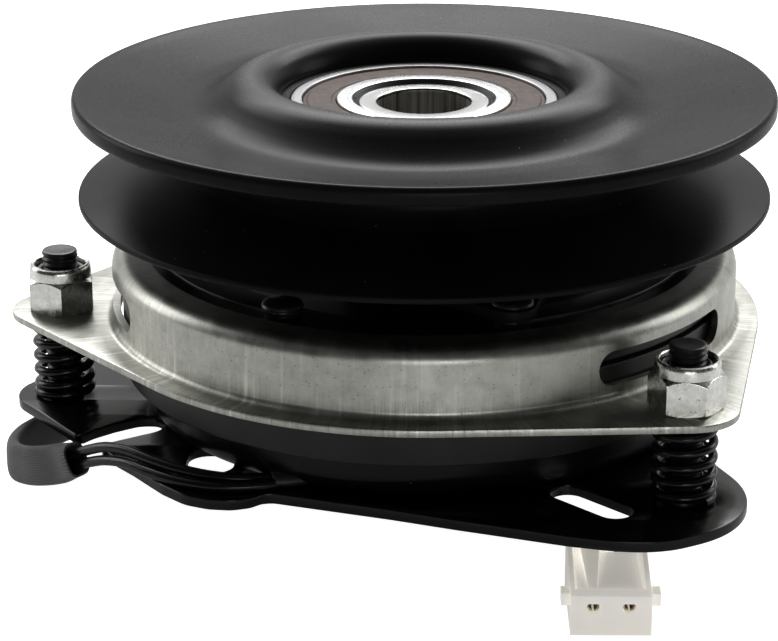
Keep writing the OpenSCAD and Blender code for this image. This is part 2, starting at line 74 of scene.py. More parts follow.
def make_camera():
    data = bpy.data.cameras.new("camera")
    data.lens = 128.2
    data.sensor_width = 36
    data.clip_start, data.clip_end = 0.05, 20
    camera = add_object("camera", data)
    pitch, yaw, roll = math.radians(19.97), math.radians(-0.76), math.radians(-0.14)
    forward = Vector((math.sin(yaw) * math.cos(pitch), math.cos(yaw) * math.cos(pitch), -math.sin(pitch)))
    turn = forward.to_track_quat("-Z", "Y").to_matrix() @ Matrix.Rotation(roll, 3, "Z")
    camera.matrix_world = Matrix.Translation((0, -0.7189, 0.3024)) @ turn.to_4x4()
    bpy.context.scene.camera = camera


# ---- shapes in the plane

def direction(degrees):
    return np.array([math.cos(math.radians(degrees)), math.sin(math.radians(degrees))])


def arc(centre, radius, start, end, steps=24):
    """Points of an arc, each with no fillet of its own."""
    return [(*(np.array(centre) + radius * direction(start + (end - start) * i / steps)), 0)
            for i in range(steps + 1)]


def circle(centre, radius, count):
    """Corners of a regular polygon that stands for a circle."""
    return [tuple(np.array(centre) + radius * direction(360 * i / count)) for i in range(count)]


def rounded(corners, steps=6):
    """Turns corners (x, y, fillet radius) of a closed outline into points."""
    points = []
    for i, (x, y, fillet) in enumerate(corners):
        corner = np.array([x, y], float)
        to_last = np.array(corners[i - 1][:2], float) - corner
        to_next = np.array(corners[(i + 1) % len(corners)][:2], float) - corner
        far_last, far_next = np.linalg.norm(to_last), np.linalg.norm(to_next)
        if fillet == 0 or min(far_last, far_next) < 1e-9:
            points.append(corner)
            continue
        to_last, to_next = to_last / far_last, to_next / far_next
        opening = math.acos(max(-1, min(1, float(to_last @ to_next))))
        if opening > math.pi - 0.02:
            points.append(corner)
            continue
        reach = min(fillet / math.tan(opening / 2), 0.48 * far_last, 0.48 * far_next)
        radius = reach * math.tan(opening / 2)
        middle = to_last + to_next
        centre = corner + middle / np.linalg.norm(middle) * radius / math.sin(opening / 2)
        spoke = corner + to_last * reach - centre
        end = corner + to_next * reach - centre
        sweep = (math.pi - opening) * (1 if spoke[0] * end[1] - spoke[1] * end[0] > 0 else -1)
        for k in range(steps + 1):
            c, s = math.cos(sweep * k / steps), math.sin(sweep * k / steps)
            points.append(centre + np.array([c * spoke[0] - s * spoke[1], s * spoke[0] + c * spoke[1]]))
    return points


def smooth_line(points, steps):
    """A Catmull-Rom curve through points of any dimension."""
    p = np.array(points, float)
    p = np.vstack([2 * p[0] - p[1], p, 2 * p[-1] - p[-2]])
    out = []
    for i in range(1, len(p) - 2):
        for k in range(steps):
            u = k / steps
            a, b, c, d = p[i - 1], p[i], p[i + 1], p[i + 2]
            out.append(0.5 * (2 * b + (c - a) * u + (2 * a - 5 * b + 4 * c - d) * u ** 2
                              + (3 * b - a - 3 * c + d) * u ** 3))
    out.append(p[-2])
    return np.array(out)


def eared(degrees, disc, ear, distance, angles):
    """Radius of a disc's outline, where ears on straight flanks stand out towards some angles."""
    lean = math.acos((disc - ear) / distance)
    meet = math.atan2(ear * math.sin(lean), distance + ear * math.cos(lean))
    radius = disc
    for angle in angles:
        off = abs(math.radians((degrees - angle + 180) % 360 - 180))
        if off <= meet:
            side = math.sqrt(max(0, ear ** 2 - (distance * math.sin(off)) ** 2))
            radius = max(radius, distance * math.cos(off) + side)
        elif off <= lean:
            radius = max(radius, disc / math.cos(off - lean))
    return radius


# ---- meshes

def mesh_object(name, points, faces, material, sharp=35):
    """A new object from points in millimetres, with outward faces and smooth shading up to an angle."""
    mesh = bpy.data.meshes.new(name)
    mesh.from_pydata([tuple(float(v) * MM for v in p) for p in points], [], faces)
    work = bmesh.new()
    work.from_mesh(mesh)
    bmesh.ops.remove_doubles(work, verts=work.verts, dist=2e-7)
    bmesh.ops.dissolve_degenerate(work, edges=work.edges, dist=1e-8)
    bmesh.ops.recalc_face_normals(work, faces=work.faces)
    work.to_mesh(mesh)
    work.free()
    obj = add_object(name, mesh)
    finish_mesh(obj, material, sharp)
    return obj


def finish_mesh(obj, material, sharp=35):
    obj.data.materials.clear()
    obj.data.materials.append(MATERIALS[material])
    obj.data.shade_smooth()
    obj.data.set_sharp_from_angle(angle=math.radians(sharp))


def place(obj, body, nodes=()):
    """Lets a piece ride on a body and stand for CAD nodes."""
    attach(obj, body)
    for node in nodes:
        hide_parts(node)
    return obj


def revolve(name, profile, material, steps=256, shape=None, centre=(0, 0), turn=0, sharp=35, closed=True):
    """Turns a profile of (radius, height) about an upright axis.

    shape(degrees, radius, height) may give a point another radius and height.
    A profile that starts and ends on the axis is not closed.
    """
    points, faces = [], []
    count = len(profile)
    for j in range(steps):
        degrees = 360 * j / steps
        c, s = direction(degrees + turn)
        for p in profile:
            r, z = shape(degrees, *p) if shape else p[:2]
            points.append((centre[0] + r * c, centre[1] + r * s, z))
    for j in range(steps):
        k = (j + 1) % steps
        for i in range(count if closed else count - 1):
            n = (i + 1) % count
            faces.append((j * count + i, j * count + n, k * count + n, k * count + i))
    return mesh_object(name, points, faces, material, sharp)


def sweep(name, route, across, upright, material, sides=16, wall=0, sharp=50, flatness=1):
    """A tube along a route. across and upright are its half sizes at each point; a wall makes it hollow.

    A flatness under 1 squares the section's shoulders.
    """
    route = np.array(route, float)
    count = len(route)
    across, upright = np.broadcast_to(across, count), np.broadcast_to(upright, count)
    ahead = np.gradient(route, axis=0)
    ahead /= np.linalg.norm(ahead, axis=1)[:, None]
    level = np.cross(ahead, (0, 0, 1))
    level /= np.linalg.norm(level, axis=1)[:, None]
    lift = np.cross(level, ahead)
    skins = [(across, upright)] + ([(across - wall, upright - wall)] if wall else [])
    points = []
    for wide, tall in skins:
        for i in range(count):
            for k in range(sides):
                c, s = direction(360 * k / sides)
                c, s = (math.copysign(abs(v) ** flatness, v) for v in (c, s))
                points.append(route[i] + level[i] * wide[i] * c + lift[i] * tall[i] * s)
    faces = []
    for skin in range(len(skins)):
        first = skin * count * sides
        for i in range(count - 1):
            for k in range(sides):
                n = (k + 1) % sides
                a = first + i * sides
                faces.append((a + k, a + n, a + sides + n, a + sides + k))
    last = (count - 1) * sides
    if wall:
        inner = count * sides
        for k in range(sides):
            n = (k + 1) % sides
            faces.append((k, inner + k, inner + n, n))
            faces.append((last + k, last + n, inner + last + n, inner + last + k))
    else:
        faces.append(tuple(range(sides)))
        faces.append(tuple(range(last, last + sides)))
    return mesh_object(name, points, faces, material, sharp)


def plate(name, outlines, low, high, edge, material, sharp=35):
    """A flat plate with rounded edges: the first outline is its rim, the others are its holes."""
    data = bpy.data.curves.new(name, "CURVE")
    data.dimensions = "2D"
    data.fill_mode = "BOTH"
    for outline in outlines:
        line = data.splines.new("POLY")
        line.points.add(len(outline) - 1)
        for point, (x, y) in zip(line.points, outline):
            point.co = (x * MM, y * MM, 0, 1)
        line.use_cyclic_u = True
    data.extrude = ((high - low) / 2 - edge) * MM
    data.bevel_depth = edge * MM
    data.bevel_resolution = 2
    data.offset = -edge * MM
    source = add_object(name + "_line", data)
    shape = bpy.data.meshes.new_from_object(source.evaluated_get(bpy.context.evaluated_depsgraph_get()))
    points = [(v.co.x / MM, v.co.y / MM, v.co.z / MM + (low + high) / 2) for v in shape.vertices]
    faces = [tuple(p.vertices) for p in shape.polygons]
    bpy.data.objects.remove(source)
    bpy.data.meshes.remove(shape)
    return mesh_object(name, points, faces, material, sharp)


def prism(outline, low, high, frame_matrix=None):
    """A throwaway solid used as a cutter or as a piece of a larger one."""
    count = len(outline)
    points = [Vector((x, y, z)) for z in (low, high) for x, y in outline]
    if frame_matrix is not None:
        points = [frame_matrix @ p for p in points]
    faces = [tuple(range(count)), tuple(range(count, 2 * count))]
    faces += [(i, (i + 1) % count, count + (i + 1) % count, count + i) for i in range(count)]
    return mesh_object("cutter", points, faces, "plain")


def combine(obj, others, operation="DIFFERENCE"):
    """Cuts throwaway solids out of a piece, or joins them to it."""
    for other in others:
        step = obj.modifiers.new("step", "BOOLEAN")
        step.operation, step.solver, step.object = operation, "EXACT", other
        bpy.context.view_layer.update()
        made = bpy.data.meshes.new_from_object(obj.evaluated_get(bpy.context.evaluated_depsgraph_get()))
        obj.modifiers.clear()
        old, obj.data = obj.data, made
        bpy.data.meshes.remove(old)
        bpy.data.objects.remove(other)


def soften_edges(obj, width, chosen=lambda middle: True, angle=50, steps=2):
    """Rounds a piece's sharp edges by a small width in millimetres."""
    work = bmesh.new()
    work.from_mesh(obj.data)
    edges = [e for e in work.edges if len(e.link_faces) == 2 and e.calc_face_angle(0) > math.radians(angle)
             and chosen((e.verts[0].co + e.verts[1].co) / 2 / MM)]
    bmesh.ops.bevel(work, geom=edges, offset=width * MM, segments=steps, affect="EDGES", clamp_overlap=True)
    work.to_mesh(obj.data)
    work.free()


# ---- materials

class Nodes:
    """Short calls that add nodes to one tree, whose textures share one kind of coordinates."""

    def __init__(self, tree, coordinates):
        self.tree = tree
        self.place = tree.nodes.new("ShaderNodeTexCoord").outputs[coordinates]

    def node(self, kind, settings=None, **inputs):
        """A new node. An input goes by its name, or by its number as i0, i1 and so on."""
        made = self.tree.nodes.new(kind)
        for key, value in (settings or {}).items():
            setattr(made, key, value)
        for key, value in inputs.items():
            numbered = key[0] == "i" and key[1:].isdigit()
            socket = made.inputs[int(key[1:]) if numbered else key]
            if isinstance(value, bpy.types.NodeSocket):
                self.tree.links.new(value, socket)
            else:
                socket.default_value = value
        return made

    def math(self, operation, a, b=0.0):
        return self.node("ShaderNodeMath", {"operation": operation}, i0=a, i1=b).outputs[0]

    def times(self, a, b):
        return self.math("MULTIPLY", a, b)

    def plus(self, a, b):
        return self.math("ADD", a, b)

    def minus(self, a, b):
        return self.math("SUBTRACT", a, b)

    def spread(self, value, low, high, to_low=0.0, to_high=1.0):
        return self.node("ShaderNodeMapRange", i0=value, i1=low, i2=high, i3=to_low, i4=to_high).outputs[0]

    def parts(self):
        return self.node("ShaderNodeSeparateXYZ", Vector=self.place).outputs


class Look(Nodes):
    """A Principled material with short calls for the textures that feed it."""

    def __init__(self, name, color, roughness, metallic=0.0, **more):
        self.material = bpy.data.materials.new(name)
        self.material.use_nodes = True
        super().__init__(self.material.node_tree, "Object")
        self.shader = self.tree.nodes["Principled BSDF"]
        self.shader.inputs["Base Color"].default_value = (*color, 1)
        self.shader.inputs["Roughness"].default_value = roughness
        self.shader.inputs["Metallic"].default_value = metallic
        for socket, value in more.items():
            self.shader.inputs[socket.replace("_", " ")].default_value = value

    def set(self, socket, value):
        self.tree.links.new(value, self.shader.inputs[socket])

    def noise(self, scale, detail=3.0, rough=0.55, at=None):
        return self.node("ShaderNodeTexNoise", Vector=at or self.place, Scale=scale, Detail=detail,
                         Roughness=rough).outputs["Fac"]

    def stretched(self, x, y, z):
        return self.node("ShaderNodeMapping", Vector=self.place, Scale=(x, y, z)).outputs[0]

    def round_place(self, radius):
        """Coordinates unrolled round the shaft: arc length, distance from the axis, height, all in metres."""
        x, y, z = self.parts()
        along = self.times(self.math("ARCTAN2", y, x), radius * MM)
        out = self.math("SQRT", self.plus(self.times(x, x), self.times(y, y)))
        return along, out, z

    def lines(self, where, scales, detail=3, rough=0.6):
        """Noise drawn out into lines, by one scale for each of three coordinates."""
        x, y, z = (self.times(value, scale) for value, scale in zip(where, scales))
        stretched = self.node("ShaderNodeCombineXYZ", X=x, Y=y, Z=z).outputs[0]
        return self.noise(1.0, detail, rough, stretched)

    def mix(self, amount, a, b):
        """Colour a where the amount is 0, and b where it is 1."""
        a, b = (v if isinstance(v, bpy.types.NodeSocket) else (*v, 1) for v in (a, b))
        return self.node("ShaderNodeMix", {"data_type": "RGBA"}, i0=amount, i6=a, i7=b).outputs[2]

    def specks(self, scale, size, share):
        """Small scattered spots: 1 inside a spot and 0 elsewhere."""
        spots = self.node("ShaderNodeTexVoronoi", Vector=self.place, Scale=scale, Randomness=1.0)
        near = self.math("LESS_THAN", spots.outputs["Distance"], size)
        chosen = self.node("ShaderNodeSeparateColor", Color=spots.outputs["Color"]).outputs[0]
        return self.times(near, self.math("LESS_THAN", chosen, share))

    def color(self, value):
        self.set("Base Color", value)

    def rough(self, value, low, high):
        """Roughness from low to high, as a noise goes from 0.3 to 0.7."""
        self.set("Roughness", self.spread(value, 0.3, 0.7, low, high))

    def bump(self, height, strength, distance):
        """Adds relief, and hands over the finished material."""
        made = self.node("ShaderNodeBump", Height=height, Strength=strength, Distance=distance)
        self.set("Normal", made.outputs[0])
        return self.material


def phosphate_look(name, tone, roughness, dust):
    look = Look(name, (tone,) * 3, roughness, IOR=1.15)
    cloud = look.noise(45, 4)
    grain = look.noise(2600, 2)
    base = look.mix(look.spread(cloud, 0.35, 0.7), (tone * 0.85, tone * 0.8, tone * 0.9),
                    (tone * 1.6, tone * 1.5, tone * 1.7))
    # The crest of the pressed dome is painted paler than the rest: a painted highlight where the crest
    # catches the light
    _, out, height = look.round_place(CREST_R)
    off_crest = look.math("ABSOLUTE", look.minus(out, CREST_R * MM))
    crest = look.spread(look.minus(1.0, look.times(off_crest, 210.0)), 0.0, 1.0)
    crest = look.times(crest, look.spread(height, 108.5 * MM, 111.2 * MM))
    # Painted highlight colour on the dome's crest
    base = look.mix(crest, base, (0.105, 0.102, 0.106))
    look.color(look.mix(look.specks(420, 0.075, dust), base, (0.22, 0.22, 0.21)))
    look.set("Roughness", look.spread(look.plus(look.noise(18, 3), grain), 0.7, 1.3,
                                      roughness - 0.05, roughness + 0.07))
    return look.bump(grain, 0.12, 0.00004)


def gloss_black_look(name, tone, roughness, coat):
    look = Look(name, (tone,) * 3, roughness, IOR=1.3, Coat_Weight=coat, Coat_Roughness=0.06)
    look.color(look.mix(look.specks(300, 0.05, 0.1), (tone,) * 3, (0.12, 0.12, 0.12)))
    look.rough(look.noise(70, 3), roughness - 0.04, roughness + 0.06)
    return look.bump(look.noise(420, 2), 0.08, 0.0001)


def zinc_sheet_look():
    """Zinc-plated sheet, streaked low on the drawn wall and pitted all over."""
    look = Look("zinc_sheet", (0.5, 0.49, 0.46), 0.34, 1.0)
    where = look.round_place(CUP_R)
    _, out, height = where
    fine = look.lines(where, (2400, 60, 70), 4)
    broad = look.lines(where, (700, 30, 26), 3, 0.5)
    low = look.spread(height, 47.0 * MM, 53.5 * MM, 1.0, 0.16)
    on_wall = look.times(low, look.spread(out, 83.5 * MM, 84.8 * MM, 0.35, 1.0))
    mottle = look.noise(160, 5, 0.7)
    tint = look.mix(look.spread(mottle, 0.3, 0.7), (0.33, 0.33, 0.30), (0.53, 0.53, 0.485))
    streak = look.times(look.spread(fine, 0.52, 0.75), on_wall)
    tint = look.mix(streak, tint, (0.24, 0.23, 0.20))
    pale = look.times(look.spread(broad, 0.56, 0.8), look.spread(on_wall, 0, 1, 0.25, 0.9))
    tint = look.mix(pale, tint, (0.80, 0.79, 0.75))
    pits = look.math("MAXIMUM", look.specks(1100, 0.2, 0.22), look.specks(420, 0.07, 0.16))
    look.color(look.mix(look.times(pits, 0.75), tint, (0.10, 0.095, 0.08)))
    look.set("Roughness", look.plus(look.spread(mottle, 0.3, 0.7, 0.30, 0.43), look.times(streak, 0.16)))
    return look.bump(look.plus(look.times(fine, on_wall), look.times(mottle, 0.5)), 0.25, 0.00012)


def zinc_nut_look():
    look = Look("zinc_nut", (0.66, 0.65, 0.63), 0.22, 1.0)
    scratch = look.noise(1.0, 4, 0.6, look.stretched(900, 900, 160))
    blotch = look.noise(330, 4, 0.65)
    tint = look.mix(look.spread(blotch, 0.35, 0.65), (0.62, 0.62, 0.585), (0.88, 0.88, 0.84))
    dirt = look.math("MAXIMUM", look.specks(700, 0.16, 0.1), look.spread(look.noise(620, 3), 0.68, 0.74))
    look.color(look.mix(look.times(dirt, 0.8), tint, (0.07, 0.065, 0.055)))
    look.set("Roughness", look.spread(look.plus(scratch, blotch), 0.7, 1.3, 0.16, 0.34))
    return look.bump(look.plus(scratch, look.times(blotch, 1.5)), 0.3, 0.00012)


def ground_steel_look(name, tone, roughness):
    """Steel ground in rings; the chamfer beside the shaft is painted dark, as painted shade."""
    look = Look(name, (tone, tone, tone * 0.985), roughness, 1.0)
    along, out, height = look.round_place(20)
    rings = look.lines((out, along, height), (9000, 25, 9000))
    ground = look.mix(look.spread(rings, 0.3, 0.7), (tone * 0.86,) * 3, (min(1, tone * 1.08),) * 3)
    # Painted shade: a dark band on the chamfer beside the shaft
    chamfer_painted_shade = look.times(look.math("LESS_THAN", out, 19.3 * MM), look.math("GREATER_THAN", out, 17.4 * MM))
    look.color(look.mix(chamfer_painted_shade, ground, (0.05, 0.05, 0.05)))
    look.rough(rings, roughness - 0.04, roughness + 0.08)
    return look.bump(rings, 0.12, 0.00003)


def rotor_look():
    """Dark phosphated steel outside, bright on the hub's turned end, streaked down the bore, whose pale tone
    is painted light.
    """
    look = Look("rotor_steel", (0.05, 0.05, 0.052), 0.4, 0.4, Specular_IOR_Level=0.3)
    where = look.round_place(12.7)
    _, out, height = where
    streaks = look.lines(where, (900, 20, 14), 4, 0.65)
    rings = look.lines((out, 0.0, 0.0), (7000, 0.0, 0.0))
    dark = look.mix(look.spread(look.noise(60, 4), 0.35, 0.65), (0.007,) * 3, (0.013,) * 3)
    # The bore's streaks are its own marks; its pale tone is painted light that stands in for light reaching
    # inside the bore
    bore_streaks_and_painted_light = look.mix(look.spread(streaks, 0.35, 0.7), (0.10, 0.098, 0.09), (0.46, 0.45, 0.42))
    bright = look.mix(look.spread(rings, 0.3, 0.7), (0.62, 0.62, 0.61), (0.78, 0.78, 0.77))
    in_bore = look.math("LESS_THAN", out, 12.85 * MM)
    on_end = look.times(look.math("GREATER_THAN", height, 103.0 * MM), look.math("LESS_THAN", out, 18.2 * MM))
    tint = look.mix(in_bore, dark, bore_streaks_and_painted_light)
    look.color(look.mix(look.times(on_end, look.minus(1.0, in_bore)), tint, bright))
    look.set("Metallic", look.math("MAXIMUM", on_end, look.times(in_bore, 0.5)))
    look.set("Roughness", look.spread(on_end, 0, 1, 0.38, 0.2))
    return look.bump(look.plus(streaks, look.noise(900, 2)), 0.1, 0.00005)


def seal_look():
    look = Look("seal_rubber", (0.09, 0.055, 0.045), 0.5, Specular_IOR_Level=0.2)
    along, out, _ = look.round_place(28)
    rings = look.lines((out, along, 0.0), (2600, 6, 0.0), 2, 0.5)
    base = look.mix(look.spread(look.plus(rings, look.noise(240, 4)), 0.7, 1.3),
                    (0.042, 0.022, 0.016), (0.085, 0.05, 0.038))
    look.color(look.mix(look.specks(900, 0.09, 0.12), base, (0.03, 0.02, 0.018)))
    look.rough(look.noise(400, 3), 0.42, 0.58)
    return look.bump(look.plus(rings, look.noise(1500, 2)), 0.2, 0.00005)


def bolt_look():
    look = Look("black_bolt", (0.014, 0.014, 0.014), 0.34, 0.3)
    wear = look.spread(look.noise(900, 3), 0.62, 0.75)
    look.color(look.mix(look.times(wear, 0.5), (0.012, 0.012, 0.013), (0.14, 0.13, 0.12)))
    look.rough(look.noise(260, 3), 0.26, 0.45)
    return look.bump(look.noise(1400, 2), 0.15, 0.00005)


def nylon_look():
    look = Look("nylon_ring", (0.018, 0.018, 0.024), 0.42)
    look.rough(look.noise(700, 3), 0.34, 0.5)
    return look.bump(look.noise(900, 3), 0.2, 0.00005)


def wire_look():
    look = Look("wire_cover", (0.004, 0.004, 0.004), 0.2, IOR=1.35)
    look.rough(look.noise(350, 3), 0.16, 0.3)
    return look.bump(look.noise(500, 3), 0.12, 0.00008)


def woven_look():
    """Fine braid: the mesh carries the coordinates along and round the sleeve as its UV map."""
    look = Look("woven_sleeve", (0.05, 0.05, 0.053), 0.72, Sheen_Weight=0.25, Sheen_Roughness=0.5)
    uv = look.node("ShaderNodeUVMap").outputs[0]
    u, v, _ = look.node("ShaderNodeSeparateXYZ", Vector=uv).outputs
    rising = look.math("SINE", look.times(look.plus(u, v), TURN))
    falling = look.math("SINE", look.times(look.minus(u, v), TURN))
    weave = look.spread(look.times(rising, falling), -1, 1)
    base = look.mix(weave, (0.014, 0.014, 0.016), (0.17, 0.17, 0.178))
    worn = look.times(look.spread(look.noise(90, 4), 0.4, 0.7), 0.35)
    base = look.mix(worn, base, (0.035, 0.035, 0.037))
    look.color(look.mix(look.specks(800, 0.12, 0.06), base, (0.2, 0.2, 0.19)))
    look.set("Roughness", look.spread(weave, 0, 1, 0.85, 0.6))
    return look.bump(look.plus(weave, look.times(look.noise(2500, 2), 0.4)), 0.7, 0.00025)


def ivory_look():
    """Pale nylon; a little emission stands for the light that passes through it."""
    look = Look("ivory_nylon", (0.92, 0.90, 0.86), 0.36, Subsurface_Weight=0.5, Subsurface_Scale=0.003,
                Emission_Strength=0.34)
    look.shader.inputs["Emission Color"].default_value = (1.0, 0.96, 0.89, 1)
    look.shader.inputs["Subsurface Radius"].default_value = (1.0, 0.75, 0.5)
    cloud = look.spread(look.noise(150, 4), 0.3, 0.7)
    look.color(look.mix(cloud, (0.88, 0.85, 0.79), (0.94, 0.92, 0.88)))
    look.rough(look.noise(500, 3), 0.28, 0.42)
    return look.bump(look.noise(700, 3), 0.1, 0.00006)


def simple_look(name, dark, pale, roughness, metallic=0.0, scale=200):
    """Two tones mixed by noise, with a grain in roughness and relief, for pieces that are mostly hidden."""
    look = Look(name, pale, roughness, metallic)
    cloud = look.noise(scale, 4)
    look.color(look.mix(look.spread(cloud, 0.35, 0.65), dark, pale))
    look.rough(cloud, roughness - 0.06, roughness + 0.08)
    return look.bump(look.noise(scale * 5, 2), 0.15, 0.00006)


def copper_look():
    """Wound wire: the turns show as ridges up the coil and across its layers."""
    look = Look("copper_wire", (0.55, 0.24, 0.1), 0.3, 1.0)
    _, out, height = look.round_place(55)
    waves = TURN / (0.7 * MM)
    turns = look.math("SINE", look.times(height, waves))
    layers = look.math("SINE", look.times(out, waves))
    coil = look.spread(look.plus(turns, layers), -2, 2)
    look.color(look.mix(coil, (0.30, 0.11, 0.04), (0.66, 0.30, 0.13)))
    return look.bump(coil, 0.6, 0.0002)


def make_materials():
    return {
        "plain": bpy.data.materials.new("plain"),
        "pulley": phosphate_look("pulley_phosphate", 0.007, 0.27, 0.06),
        "groove": phosphate_look("groove_phosphate", 0.006, 0.36, 0.04),
        "drum": phosphate_look("drum_phosphate", 0.006, 0.42, 0.03),
        "shell": gloss_black_look("shell_paint", 0.0025, 0.26, 0.0),
        "plate": gloss_black_look("plate_coat", 0.003, 0.17, 0.05),
        "spring": gloss_black_look("spring_coat", 0.003, 0.2, 0.2),
        "zinc": zinc_sheet_look(),
        "nut": zinc_nut_look(),
        "bolt": bolt_look(),
        "nylon": nylon_look(),
        "race": ground_steel_look("bearing_race", 0.94, 0.22),
        "outer_race": ground_steel_look("bearing_outer_race", 0.34, 0.3),
        "ball": ground_steel_look("bearing_ball", 0.8, 0.12),
        "rotor": rotor_look(),
        "seal": seal_look(),
        "strap": simple_look("strap_steel", (0.020, 0.019, 0.019), (0.05, 0.048, 0.047), 0.34, 0.6, 140),
        "armature": simple_look("armature_steel", (0.012,) * 3, (0.035, 0.034, 0.033), 0.4, 0.5, 180),
        "lining": simple_look("brake_lining", (0.05, 0.042, 0.034), (0.12, 0.10, 0.085), 0.8, 0.0, 900),
        "bobbin": simple_look("bobbin_nylon", (0.12, 0.115, 0.105), (0.17, 0.16, 0.15), 0.5),
        "potting": simple_look("potting_resin", (0.014,) * 3, (0.025, 0.025, 0.026), 0.25, 0.0, 90),
        "cage": simple_look("cage_nylon", (0.42, 0.36, 0.24), (0.52, 0.46, 0.32), 0.45),
        "clip": simple_look("clip_steel", (0.03,) * 3, (0.07,) * 3, 0.35, 0.7),
        "rubber": simple_look("grommet_rubber", (0.008,) * 3, (0.016,) * 3, 0.5),
        "terminal": simple_look("terminal_tin", (0.36, 0.31, 0.2), (0.60, 0.54, 0.40), 0.28, 1.0, 600),
        "copper": copper_look(),
        "wire": wire_look(),
        "woven": woven_look(),
        "ivory": ivory_look(),
    }


# ---- lead

FRONT_A = [(-35, -68.2, 22.1), (-40, -70.1, 22), (-48, -71.6, 22), (-56, -70.6, 22), (-64, -67, 22),
           (-71, -61.8, 22), (-77, -56, 21.9), (-83, -50, 20.2), (-88, -44.6, 17.4)]
FRONT_B = [(-36, -65.3, 22.3), (-41, -67.1, 22.6), (-48, -68.3, 23), (-56, -67.4, 23.6), (-64, -64.4, 24.3),
           (-71, -59.8, 24.8), (-77, -54.6, 24.9), (-83, -49.2, 23.6), (-88, -44.2, 20.8)]
SLEEVE = [(-92.2, -40, 16.2), (-97, -36.6, 13.6), (-102, -33, 11.4), (-107, -29, 9.8), (-111, -23.6, 8.8),
          (-112.2, -17, 8.4), (-110.5, -8, 7.8), (-106, 2, 7.2), (-99, 12, 6.8), (-89, 20, 6.4),
          (-76, 25, 6.1),
          (-62, 25, 5.8), (-49, 19, 5.7), (-38, 9, 5.7), (-31, -3, 5.7), (-26, -15, 5.7), (-17, -26, 5.7),
          (-4, -33.5, 5.7), (8, -38, 5.7)]
TAIL_A = [(12, -39.8, 3.4), (19, -42.6, 2.2), (28, -46.4, 1.8), (36, -52, 2), (41, -60, 3), (42, -70, 5),
          (41.4, -79, 7), (41.3, -86.4, 7.4)]
TAIL_B = [(12, -38.6, 6.6), (20, -39.6, 4.6), (30, -43, 3), (39.5, -49.6, 2.6), (45.6, -58, 3.4),
          (48.6, -68, 5.4), (50, -78, 7.2), (50.1, -86.4, 7.4)]
WIRE_LIFT = 1.65
WIRE_R = 1.4


def add_uv(obj, route, pitch):
    """Gives the swept sleeve coordinates along and round it, counted in weave pitches."""
    mean_radius, half_wide, half_tall = 4.6, 2.5, 6.0
    steps = np.concatenate([[0], np.cumsum(np.linalg.norm(np.diff(route, axis=0), axis=1))])
    layer = obj.data.uv_layers.new(name="UVMap")
    points = np.array([v.co[:] for v in obj.data.vertices]) / MM
    nearest = [int(np.argmin(((route - p) ** 2).sum(1))) for p in points]
    rounds = round(TURN * mean_radius / pitch)
    for face in obj.data.polygons:
        turns = []
        for index in face.vertices:
            i = nearest[index]
            ahead = route[min(i + 1, len(route) - 1)] - route[max(i - 1, 0)]
            level = np.cross(ahead, (0, 0, 1))
            level /= np.linalg.norm(level)
            off = points[index] - route[i]
            turns.append(math.atan2(off[2] / half_tall, float(off @ level) / half_wide) / TURN)
        for k, corner in enumerate(face.loop_indices):
            t = turns[k]
            if t - turns[0] > 0.5:
                t -= 1
            elif turns[0] - t > 0.5:
                t += 1
            layer.data[corner].uv = (steps[nearest[face.vertices[k]]] / pitch, t * rounds)


def make_lead():
    routes = []
    for front, lift, tail in ((FRONT_A, -WIRE_LIFT, TAIL_A), (FRONT_B, WIRE_LIFT, TAIL_B)):
        routes.append(smooth_line(front + [(x, y, z + lift) for x, y, z in SLEEVE] + tail, 6))
    wires = []
    for letter, route in zip("ab", routes):
        wire = sweep(f"wire_{letter}", route, WIRE_R, WIRE_R, "wire", 16)
        place(wire, "field", [f"lead_wire_{letter}"])
        wires.append(wire)
    line = smooth_line(SLEEVE, 10)
    share = np.linspace(0, 1, len(line))
    # The sleeve's mouth is pushed open by the wires; the rest lies flat
    mouth = np.exp(-(share / 0.035) ** 2)
    far_mouth = np.exp(-((1 - share) / 0.03) ** 2)
    ripple = 0.12 * np.sin(share * 61) + 0.1 * np.sin(share * 23 + 1)
    wide = 1.9 + 1.9 * mouth + 0.7 * far_mouth + ripple
    tall = 5.5 - 0.9 * mouth - 0.9 * far_mouth
    sleeve = sweep("woven_sleeve", line, wide, tall, "woven", 48, 0.5, flatness=0.62)
    add_uv(sleeve, line, 0.9)
    place(sleeve, "field", ["lead_sleeve"])
    return wires, routes, sleeve, line


def box(low, high):
    """The eight corners of an upright box, the four lower ones first."""
    return [(x, y, z) for z in (low[2], high[2]) for x, y in
            ((low[0], low[1]), (high[0], low[1]), (high[0], high[1]), (low[0], high[1]))]


def block(points, name="cutter", material="plain"):
    """A six-sided solid from its four lower and four upper corners."""
    faces = [(3, 2, 1, 0), (4, 5, 6, 7), (0, 1, 5, 4), (1, 2, 6, 5), (2, 3, 7, 6), (3, 0, 4, 7)]
    return mesh_object(name, points, faces, material)


